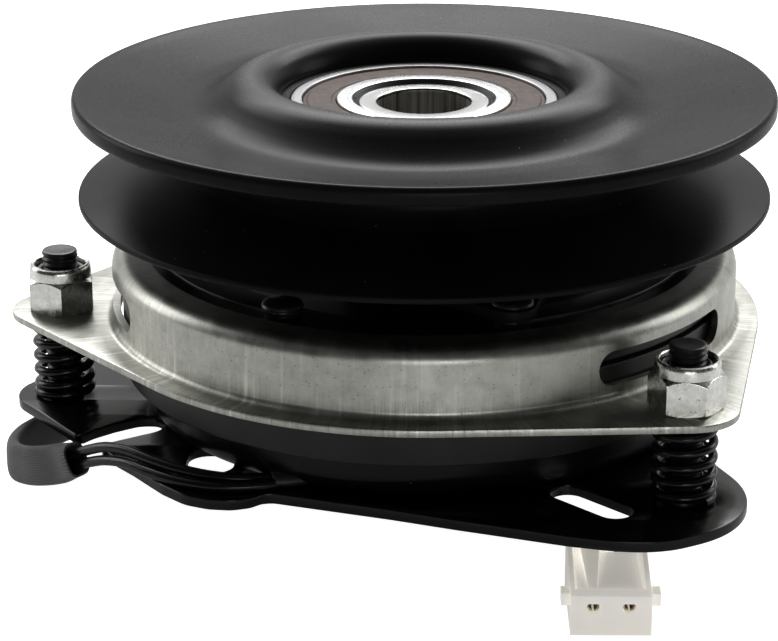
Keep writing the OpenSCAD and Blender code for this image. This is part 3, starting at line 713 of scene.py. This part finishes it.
def make_connector():
    """The two-way plug: a block with guards, a latch, side tabs and two sockets."""
    x, back, front, half, top = 45.7, -83.0, -111.0, 9.9, 10.5
    body = block(box((x - half, front, 0), (x + half, back, top - 1)), "plug_housing", "ivory")
    added = [block(box((x - half, front, top - 2), (x + half, front + 4.6, top)))]
    # A guard on each side of the deck, thin at its top and rising towards the back
    for side in (-1, 1):
        outer, foot, crest = x + side * half, x + side * (half - 2.2), x + side * (half - 1.2)
        guard = [(px, y, pz) for y, rise in ((front + 3, top), (back, 15.4))
                 for px, pz in ((outer, top - 3), (foot, top - 3), (crest, rise), (outer, rise))]
        added.append(block(guard))
        near, far = sorted((x + side * (half - 0.5), x + side * (half + 2.2)))
        added.append(block(box((near, front + 2, top - 3.4), (far, front + 6.4, top - 0.2))))
    # The latch: a block at the back, left of the middle, with a ramp that narrows towards the front
    added.append(block(box((x - 7.6, back + 1, top - 2), (x + 0.3, back + 4.2, 14.0))))
    near, far, foot = front + 6, back + 2, top - 2
    added.append(block([(x - 5.4, near, foot), (x - 3.0, near, foot),
                        (x - 0.9, far, foot), (x - 6.9, far, foot),
                        (x - 5.2, near, top - 1.0), (x - 3.2, near, top - 1.0),
                        (x - 1.2, far, 12.8), (x - 6.6, far, 12.8)]))
    combine(body, added, "UNION")
    holes = []
    for side in (-1, 1):
        socket = [(px, min(pz, 1.05)) for px, pz in circle((0, 0), 1.66, 32)]
        turned = Matrix(((1, 0, 0, x + side * 4.4), (0, 0, 1, 0), (0, 1, 0, 7.4), (0, 0, 0, 1)))
        holes.append(prism(socket, front - 1, back + 1, turned))
    combine(body, holes)
    soften_edges(body, 0.28, angle=40)
    finish_mesh(body, "ivory", 30)
    return place(body, "field", ["connector_housing"])


# ---- field

def base_plate():
    """The coated plate at the foot: its rim runs from the lead's exit round the back to the left ear."""
    right_corner = smooth_line([(35.6, -97.8), (46, -100.4), (54, -101.1), (60.6, -100), (66.4, -97.3),
                                (72, -93.6), (76.6, -88.8), (79.9, -83), (81.8, -76.4), (81.9, -69.4),
                                (80.4, -62.4), (77, -54)], 4)
    rim = [(-38.4, -72, 5), (-8, -82.2, 60), (8, -88.2, 60)]
    rim += [(x, y, 0) for x, y in right_corner] + [(72, -40, 10)]
    disc_r, ear_r, rear = 74, 13, STUD_ANGLES["rear"]
    lean = math.degrees(math.acos((60 - ear_r) / STUD_CIRCLE))
    rim += arc((0, 0), disc_r, -30, 40, 30)
    rim += arc(STUD_CIRCLE * direction(rear), ear_r, rear - lean, rear + lean, 24)
    rim += arc((0, 0), disc_r, 92, 146, 24)
    rim += [(-67, 40, 8), (-80, 41, 10), (-88, 37.4, 8), (-94, 31.2, 8)]
    rim += arc((-99.5, -2.1), ear_r, 152, 214, 12)
    rim += [(-103.7, -18.2, 14), (-98.3, -25.9, 14), (-93.2, -33, 1.2), (-91, -32.6, 1.2), (-88.6, -29.4, 10),
            (-83.4, -24.8, 14), (-77, -20.5, 7), (-72.4, -20.5, 3), (-69.2, -24.2, 1.2), (-70.8, -30, 7),
            (-85.6, -39.6, 3), (-84.6, -43.4, 3), (-80.6, -48.6, 9), (-75.6, -54.8, 9), (-71.2, -61, 12),
            (-67, -66.8, 12), (-60.8, -73.2, 10), (-54.6, -76, 10), (-48.4, -76.7, 8), (-43.8, -75.1, 4),
            (-41, -72.6, 3)]
    along = direction(-45.5)
    across = direction(44.5)
    slot = [(*(np.array([42.5, -76.5]) + along * a * 12.5 + across * b * 4.7), 4.65)
            for a, b in ((1, -1), (1, 1), (-1, 1), (-1, -1))]
    window = [(-49.4, -58.8, 5.5), (-49.4, -41.2, 5.5), (-61.8, -41.2, 5.5), (-61.8, -58.8, 5.5)]
    notch = [(-47.3, -61.6, 1.2), (-39.2, -60, 1), (-39.2, -58.4, 0.8), (-44, -52.6, 1.5),
             (-46.7, -53.2, 1.5)]
    outlines = [rounded(rim, 8), rounded(slot, 10), rounded(window, 8), rounded(notch, 4)]
    outlines.append(circle((0, 0), 28, 90))
    outlines += [circle(STUD_CIRCLE * direction(a), 5.02, 36) for a in STUD_ANGLES.values()]
    obj = plate("base_plate_coated", outlines, BASE_Z, BASE_TOP, 0.45, "plate", 28)
    place(obj, "field", ["base_plate"])


def field_shell():
    profile = rounded([(31, BASE_TOP, 0.6), (77.5, BASE_TOP, 7), (77.5, 46, 0.6), (74.5, 46, 0.6),
                       (74.5, 23.5, 4), (34.5, 23.5, 1), (34.5, 46, 0.5), (31, 46, 0.5)], 14)
    place(revolve("shell_drum", profile, "shell", 320), "field", ["field_shell"])
    lead_exit, out = np.array([-35.5, -66.8]), direction(200)
    route = [(*(lead_exit + out * d), 22.6) for d in (-5, -1, 0.5, 2.2, 3.2)]
    collar = sweep("lead_collar", route, [3.9, 3.9, 3.7, 3.1, 2.9], [2.1, 2.1, 2.0, 1.75, 1.6], "rubber", 24)
    place(collar, "field", ["lead_grommet"])


def studs():
    """Threaded studs, each one turned profile whose radius follows the thread."""
    first, last, pitch, depth = 20.9, 61.9, 1.5, 0.55
    levels = [(ON_AXIS, 13.6), (6.8, 13.6), (8.2, 14.6), (8.45, 15.6), (8.45, 17.3), (8.2, 17.45),
              (4.9, 17.45), (4.9, first)]
    levels += [(4.9, z) for z in np.arange(21.05, 61.8, 0.15)]
    levels += [(4.75, 61.95), (4.6, 62.3), (4.3, 62.45), (3.6, 62.4), (ON_AXIS, 62.25)]

    def thread(degrees, r, z):
        if first < z < last:
            phase = (z / pitch - degrees / 360) % 1
            r -= depth * min(1, (z - first) / pitch, (last - z) / 0.6) * abs(2 * phase - 1)
        return r, z

    for name, angle in STUD_ANGLES.items():
        stud = revolve(f"stud_{name}", levels, "bolt", 48, thread, STUD_CIRCLE * direction(angle),
                       sharp=40, closed=False)
        place(stud, "field", ["studs"])


def springs():
    turns, wire, radius = 6, 1.25, 7.2
    low = BASE_TOP + wire + 0.05
    travel = FOOT_Z - BASE_TOP - 2 * wire - 0.1
    dead = 0.9 / turns
    for name, angle in STUD_ANGLES.items():
        cx, cy = STUD_CIRCLE * direction(angle)
        line = []
        for i in range(turns * 40 + 1):
            u = i / (turns * 40)
            body = min(1, max(0, (u - dead) / (1 - 2 * dead)))
            ends = min(u / dead, 1) * 0.09 + max(0, (u - 1 + dead) / dead) * 0.09
            c, s = direction(360 * turns * u + angle)
            line.append((cx + radius * c, cy + radius * s, low + travel * (ends + 0.82 * body)))
        spring = sweep(f"coil_{name}", line, wire, wire, "spring", 14)
        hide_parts(f"spring_{name}")
        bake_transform(spring)


# ---- brake plate and nuts

def brake_plate():
    """A cup drawn from sheet, with a flat foot flange that has three ears and three long windows above."""
    disc, ear, flat = 91.5, 13.5, 89.5
    outer = rounded([(75, CUP_Z, 0.35), (CUP_R, CUP_Z, 4.6), (CUP_R, BRAKE_TOP, 2.6),
                     (flat, BRAKE_TOP, 0)], 10)
    rim = [(disc - 0.45, BRAKE_TOP), (disc - 0.12, BRAKE_TOP - 0.12), (disc, BRAKE_TOP - 0.45),
           (disc, FOOT_Z + 0.45), (disc - 0.12, FOOT_Z + 0.12), (disc - 0.45, FOOT_Z)]
    inner = rounded([(flat, FOOT_Z, 0), (CUP_R - 2, FOOT_Z, 3.0), (CUP_R - 2, CUP_Z - 2, 2.6),
                     (75, CUP_Z - 2, 0.35)], 10)

    def foot(degrees, r, z):
        reach = eared(degrees, disc, ear, STUD_CIRCLE, STUD_ANGLES.values()) - disc
        return (r + reach if r > 90 else r), z

    obj = revolve("brake_plate_zinc", outer + rim + inner, "zinc", 720, foot, sharp=40)
    cutters = []
    half, high, lift = CUP_R * math.sin(math.radians(17)), 4.6, 54.1
    window = rounded([(-half, -high, 4.55), (half, -high, 4.55), (half, high, 4.55), (-half, high, 4.55)], 12)
    for angle in STUD_ANGLES.values():
        c, s = direction(angle + 6.8)
        turned = Matrix(((-s, 0, c, 0), (c, 0, s, 0), (0, 1, 0, lift), (0, 0, 0, 1)))
        cutters.append(prism(window, 74, 92, turned))
        hole = circle(STUD_CIRCLE * direction(angle), 5.3, 36)
        cutters.append(prism(hole, FOOT_Z - 2, BRAKE_TOP + 2))
    combine(obj, cutters)
    soften_edges(obj, 0.22, lambda p: 49.2 < p.z < 59.2 and 81 < math.hypot(p.x, p.y) < 87, 60)
    finish_mesh(obj, "zinc", 38)
    place(obj, "brake", ["brake_plate"])


def lock_nuts():
    """Hexagon lock nuts: each corner is cut back by a cone, and a round collar grips the nylon ring."""
    flat, corner = 8.5, 8.5 / math.cos(math.radians(30))
    outline = [(5.02, 0.3), (5.3, 0.02), (7.4, 0.02), (flat, 0.02)]
    outline += [(flat + 1.4 * t, 0.02 + 0.75 * t) for t in np.linspace(0.05, 1, 8)]
    outline += [(corner + 0.2, 2.5), (corner + 0.2, 5.0), (corner + 0.2, 7.2)]
    outline += [(corner + 0.15 - 1.55 * t, 8.2 + 1.3 * t) for t in np.linspace(0, 1, 12)]
    outline += [(8.42, 9.7), (8.4, 10.2), (8.36, 11.7), (8.25, 12.3), (8.0, 12.75), (7.6, 13.0), (7.2, 12.95),
                (6.95, 12.6), (6.85, 12.0), (6.9, 11.2), (6.9, 9.5), (5.02, 9.5)]
    profile = [(r, z + BRAKE_TOP) for r, z in outline]
    ring = rounded([(5.0, 55.4, 0.1), (6.85, 55.4, 0.1), (6.6, 57.2, 0.35), (5.6, 57.6, 0.4),
                    (5.0, 57.3, 0.3)], 4)

    def hexagon(degrees, r, z):
        """The smaller of the turned radius and the hexagon's, with a soft change between them."""
        if r < 8.2:
            return r, z
        side = flat / math.cos(math.radians(degrees % 60 - 30))
        soft = 0.18
        mixed = max(soft - abs(side - r), 0) / soft
        return min(side, r) - soft * mixed ** 2 / 4, z

    turns = {"left": 36, "right": 43, "rear": 10}
    for name, angle in STUD_ANGLES.items():
        centre = STUD_CIRCLE * direction(angle)
        nut = revolve(f"lock_nut_{name}", profile, "nut", 216, hexagon, centre,
                      angle + turns[name], 25)
        place(nut, f"nut_{name}", [f"nut_{name}"])
        insert = revolve(f"nylon_{name}", ring, "nylon", 72, None, centre)
        place(insert, f"nut_{name}", [f"nut_insert_{name}"])


# ---- rotor, armature, pulley

def rotor():
    profile = rounded([(12.7, 0, 0.5), (17.49, 0, 0.8), (17.49, 34.55, 0), (22, 34.55, 0.5), (22, 47, 1.5),
                       (78.3, 47, 2), (78.3, 32.2, 0.4), (82.3, 32.2, 0.5), (82.3, 54, 0.5), (22, 54, 1.5),
                       (22, 87.95, 0.4), (17.49, 87.95, 0), (17.49, 103.95, 0.45), (12.7, 103.95, 0.5)], 5)
    obj = revolve("rotor_turned", profile, "rotor", 320)
    cutters = [prism([(-3.175, 10), (3.175, 10), (3.175, 15.8), (-3.175, 15.8)], -1, 60)]
    for count, radius, turn in ((4, 50, 0), (6, 66, 20)):
        for i in range(count):
            a, b = turn + 360 * i / count, turn + 360 * (i + 1) / count - 12
            ring = arc((0, 0), radius + 1.75, a, b, 24) + arc((0, 0), radius - 1.75, b, a, 24)
            cutters.append(prism([p[:2] for p in ring], 46, 55))
    combine(obj, cutters)
    finish_mesh(obj, "rotor", 35)
    place(obj, "rotor", ["rotor"])


def ball_groove(pitch, ball, land, middle, side):
    """Half height of a ring's ball groove, and its profile from the top down to the bottom."""
    reach = math.sqrt(ball ** 2 - (land - pitch) ** 2)
    return reach, [(pitch + side * math.sqrt(ball ** 2 - h ** 2), middle + h)
                   for h in np.linspace(reach, -reach, 14)[1:-1]]


def bearings():
    """Each bearing's two rings and two seals, from its foot, width and radii."""
    for name, body_out, z, width, out_r, land, inner_land, pitch, ball in (
            ("pulley_bearing", "pulley", 88, 17, 36, 31, 23.45, 26.75, 5.6),
            ("field_bearing", "field", BASE_TOP, 14, 31, 27.6, 21.3, 24.25, 4.0)):
        top, middle = z + width, z + width / 2
        reach, groove = ball_groove(pitch, ball, land, middle, 1)
        upper = rounded([(out_r, z, 0.9), (out_r, top, 0.9), (land + 1.74, top, 0.25),
                         (land + 1.76, top - 2, 0.2), (land, top - 2, 0.2), (land, middle + reach, 0)], 4)
        lower = rounded([(land, middle - reach, 0), (land, z + 2, 0.2), (land + 1.76, z + 2, 0.2),
                         (land + 1.74, z, 0.25)], 4)
        ring = revolve(f"{name}_outer", upper + groove + lower, "outer_race")
        place(ring, body_out, [f"{name}_outer_ring"])
        reach, groove = ball_groove(pitch, ball, inner_land, middle, -1)
        shell = rounded([(inner_land, middle - reach, 0), (inner_land, z, 0.3), (19.4, z, 0.2),
                         (17.5, z + 1.9, 0.2), (17.5, top - 1.9, 0.5), (19.4, top, 0.5),
                         (inner_land, top, 0.35), (inner_land, middle + reach, 0)], 5)
        ring = revolve(f"{name}_inner", shell + groove, "race")
        place(ring, "rotor", [f"{name}_inner_ring"])
        for tag, face, way in (("top", top - 0.35, -1), ("bottom", z + 0.35, 1)):
            r0, r1 = inner_land + 0.22, land + 1.7
            steps = ((r0, 0.9, 0.1), (r0, 0.35, 0.15), (r0 + 1.0, 0.35, 0.2), (r0 + 1.3, 0.05, 0.25),
                     (r1 - 1.5, 0, 0.3), (r1 - 1.1, 0.3, 0.2), (r1 - 0.5, 0.3, 0.2), (r1, 0.55, 0.2),
                     (r1, 1.3, 0.1), (r0, 1.3, 0.1))
            seal = rounded([(r, face + way * deep, fillet) for r, deep, fillet in steps], 3)
            lip = revolve(f"{name}_seal_{tag}", seal, "seal")
            place(lip, body_out, [f"{name}_seals"])


def pulley():
    """Two pressed halves that hold the belt, the drum inside them and the flange for the straps."""
    top = smooth_line([(92.0, 108.3), (88, 107.35), (80, 105.8), (74, 104.7), (69, 103.85), (65.5, 103.6),
                       (62.5, 103.85), (60, 104.6), (57.6, 105.85), (55.2, 107.5), (52.8, 109.3),
                       (50.4, 110.7), (47.8, 111.5), (45.2, 111.65), (42.8, 111.1), (40.8, 109.9),
                       (39.3, 108.1), (38.5, 106.3), (38.3, 104.95)], 5)
    under = smooth_line([(40.7, 104.95), (41.1, 106.4), (42.2, 107.8), (43.6, 108.7), (45.3, 109.15),
                         (47.2, 109.05), (49.2, 108.5), (51.4, 107.3), (53.7, 105.7), (56.2, 103.95),
                         (58.8, 102.4), (61.6, 101.4), (65, 101.0), (69, 101.25), (78, 103), (88, 104.9),
                         (91.4, 105.4)], 5)
    rim = [(92.3, 104.7), (92.8, 104.1), (93.4, 103.85), (93.85, 103.95), (94.1, 104.4), (94.15, 105.3),
           (94.15, 106.6), (94.05, 107.3), (93.8, 107.85), (93.4, 108.2), (92.9, 108.4), (92.4, 108.37)]
    profile = list(top) + list(under) + rim
    place(revolve("pulley_upper_pressed", profile, "pulley", 360, sharp=60), "pulley",
          ["pulley_upper"])
    lower = rounded([(93.25, 79.2, 0.5), (93.2, 80.6, 0.7), (66.5, 88.6, 5), (62, 91.6, 5), (62, 100.8, 3),
                     (41.2, 100.8, 0.4), (41.2, 98.4, 0.4), (59.6, 98.4, 1), (59.6, 90.6, 5), (65, 86.6, 5),
                     (91.8, 78.6, 0.7)], 8)
    place(revolve("pulley_lower_pressed", lower, "groove", 360), "pulley", ["pulley_lower"])

    low = STRAP_Z + STRAP_T + 0.05
    drum_r = 41
    drum = rounded([(32.5, low, 0.3), (drum_r, low, 0), (drum_r, low + 3, 2), (drum_r, 95, 1), (48, 95, 0.5),
                    (48, 98.3, 0.5), (drum_r, 98.3, 0.5), (drum_r, 104.85, 0.4), (36.02, 104.85, 0.3),
                    (36.02, 87.9, 0.1), (32.5, 87.9, 0.3)], 4)
    place(revolve("pulley_drum", drum, "drum"), "pulley", ["pulley_hub"])
    lobes = [STRAP_START + 120 * i for i in range(3)]
    outline = [eared(a, drum_r, 6.2, STRAP_R, lobes) * direction(a) for a in np.arange(0, 360, 1.0)]
    flange = plate("pulley_flange", [outline, circle((0, 0), 32.6, 90)], low, low + 3, 0.4, "drum")
    place(flange, "pulley", ["pulley_hub"])


def domed(radius, low, high):
    """Half profile of a rivet head, from its foot to the middle of its crown."""
    crown = [(radius * math.cos(t) * 0.98, low + 0.5 + (high - low - 0.5) * math.sin(t) ** 0.8)
             for t in np.linspace(0.15, 1.35, 9)]
    return [(ON_AXIS, low), (radius - 0.3, low), (radius, low + 0.3)] + crown + [(ON_AXIS, high)]


def pin(radius, low, high, top_radius=None):
    """Half profile of a plain round pin."""
    return [(ON_AXIS, low), (radius, low), (top_radius or radius, high), (ON_AXIS, high)]


def rivets():
    """Each strap's two rivets: drive rivets through the pulley's flange, hang rivets through the armature."""
    under = STRAP_Z - 0.05
    drive = [("head", domed(5.4, 69.2, 71.4)), ("collar", pin(4.6, STRAP_Z - 1.6, under, 4.8)),
             ("shank", pin(3, STRAP_Z - 0.1, 69.4))]
    hang = [("head", domed(5.4, 66.2, 68.4)), ("collar", pin(4.8, ARMATURE_TOP + 0.05, under)),
            ("shank", pin(3, 54.8, 66.4))]
    for i in range(3):
        for tag, body, angle, node, parts in (
                ("drive", "pulley", STRAP_START, "pulley_rivets", drive),
                ("hang", "armature", STRAP_START + STRAP_SPAN, "armature_rivets", hang)):
            centre = STRAP_R * direction(angle + 120 * i)
            for part, profile in parts:
                piece = revolve(f"rivet_{tag}_{part}_{i}", profile, "bolt", 48, None, centre)
                place(piece, body, [node])


def straps():
    """Curved leaf springs with a round eye at each end."""
    half, middle = 4.2, (STRAP_Z + STRAP_T / 2) * MM
    for i in range(3):
        start = STRAP_START + 120 * i
        end = start + STRAP_SPAN
        outline = arc((0, 0), STRAP_R + half, start, end, 60)
        outline += arc(STRAP_R * direction(end), half + 0.45, end + 8, end + 172, 16)
        outline += arc((0, 0), STRAP_R - half, end, start, 60)
        outline += arc(STRAP_R * direction(start), half + 0.45, start + 188, start + 352, 16)
        eyes = [circle(STRAP_R * direction(a), 3.06, 24) for a in (start, end)]
        strap = plate(f"strap_{i}", [[p[:2] for p in outline]] + eyes, STRAP_Z, STRAP_Z + STRAP_T, 0.2,
                      "strap")
        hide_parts("leaf_springs")
        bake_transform(strap)


def armature():
    """The armature ring, with clearance pockets under the drive rivets and holes for the hang rivets."""
    low, high = 54.45, ARMATURE_TOP
    profile = rounded([(56, low, 0.6), (81.4, low, 0.8), (81.4, high, 0.8), (56, high, 0.6)], 4)
    obj = revolve("armature_ring", profile, "armature", 256)
    cutters = []
    for i in range(3):
        pocket = STRAP_R * direction(STRAP_START + 120 * i)
        cutters.append(prism(circle(pocket, 6.0, 36), high - 2, high + 1))
        hole = STRAP_R * direction(STRAP_START + STRAP_SPAN + 120 * i)
        cutters.append(prism(circle(hole, 3.05, 24), low - 1, high + 1))
    combine(obj, cutters)
    finish_mesh(obj, "armature", 35)
    place(obj, "armature", ["armature_plate"])


# ---- carried-over CAD nodes

def dress_nodes():
    """CAD nodes whose shape is right keep it, and get a better material."""
    dressed = {"coil_bobbin": "bobbin", "coil_winding": "copper", "coil_potting": "potting",
               "field_bearing_balls": "ball", "field_bearing_cage": "cage", "field_bearing_clip": "clip",
               "hub_clip": "clip", "pulley_bearing_balls": "ball", "pulley_bearing_cage": "cage",
               "brake_pads": "lining", "connector_terminals": "terminal"}
    for node, look in dressed.items():
        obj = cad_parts[node]
        for slot in obj.material_slots:
            slot.material = MATERIALS[look]


# ---- stage

def area_light(name, place_at, look_at, size, energy):
    data = bpy.data.lights.new(name, "AREA")
    data.shape = "RECTANGLE"
    data.size, data.size_y = size
    data.energy = energy
    light = add_object(name, data)
    light.location = place_at
    light.rotation_euler = (Vector(look_at) - Vector(place_at)).to_track_quat("-Z", "Y").to_euler()


def make_world():
    """A studio that is bright behind and above; the camera sees it as one even tone."""
    world = bpy.data.worlds.new("studio")
    bpy.context.scene.world = world
    world.use_nodes = True
    sky = Nodes(world.node_tree, "Generated")
    _, back, high = sky.parts()
    strength = sky.times(sky.spread(back, -0.15, 0.6, 0.05, 0.95), sky.spread(high, 0.1, 0.55, 0.55, 1.0))
    lit = sky.node("ShaderNodeBackground", Color=(1, 1, 1, 1), Strength=strength)
    seen = sky.node("ShaderNodeBackground", Strength=1.05)
    camera_ray = sky.node("ShaderNodeLightPath").outputs["Is Camera Ray"]
    mix = sky.node("ShaderNodeMixShader", i0=camera_ray, i1=lit.outputs[0], i2=seen.outputs[0])
    sky.tree.links.new(mix.outputs[0], sky.tree.nodes["World Output"].inputs["Surface"])


def make_floor():
    """A wide floor just under the part."""
    half, level = 3.0, -0.0004
    mesh = bpy.data.meshes.new("floor")
    corners = [(-half, -half, level), (half, -half, level), (half, half, level), (-half, half, level)]
    mesh.from_pydata(corners, [], [(0, 1, 2, 3)])
    floor = add_object("floor", mesh)
    look = Look("pale_floor", (0.55, 0.55, 0.55), 0.9)
    look.shader.inputs["Emission Color"].default_value = (1, 1, 1, 1)
    # White to the camera, dimmer as a source of light, so that the black parts stay black
    camera_ray = look.node("ShaderNodeLightPath").outputs["Is Camera Ray"]
    look.set("Emission Strength", look.spread(camera_ray, 0, 1, 0.16, 1.0))
    floor.data.materials.append(look.material)


def make_stage():
    bpy.context.scene.view_settings.view_transform = "Standard"
    make_world()
    make_floor()
    area_light("top_back", (0.0, 0.9, 0.95), (0, 0, 0.08), (1.6, 0.6), 20)
    area_light("left", (-1.0, 0.35, 0.4), (0, 0, 0.08), (0.5, 0.6), 2.6)
    area_light("right", (1.05, 0.25, 0.45), (0, 0, 0.08), (0.5, 0.6), 2.2)
    area_light("front", (0.1, -1.1, 0.12), (0, 0, 0.04), (0.5, 0.12), 1.2)


# ---- all together

make_camera()
MATERIALS = make_materials()
lead = make_lead()
plug = make_connector()
base_plate()
field_shell()
studs()
springs()
brake_plate()
lock_nuts()
rotor()
bearings()
pulley()
rivets()
straps()
armature()
dress_nodes()
make_stage()
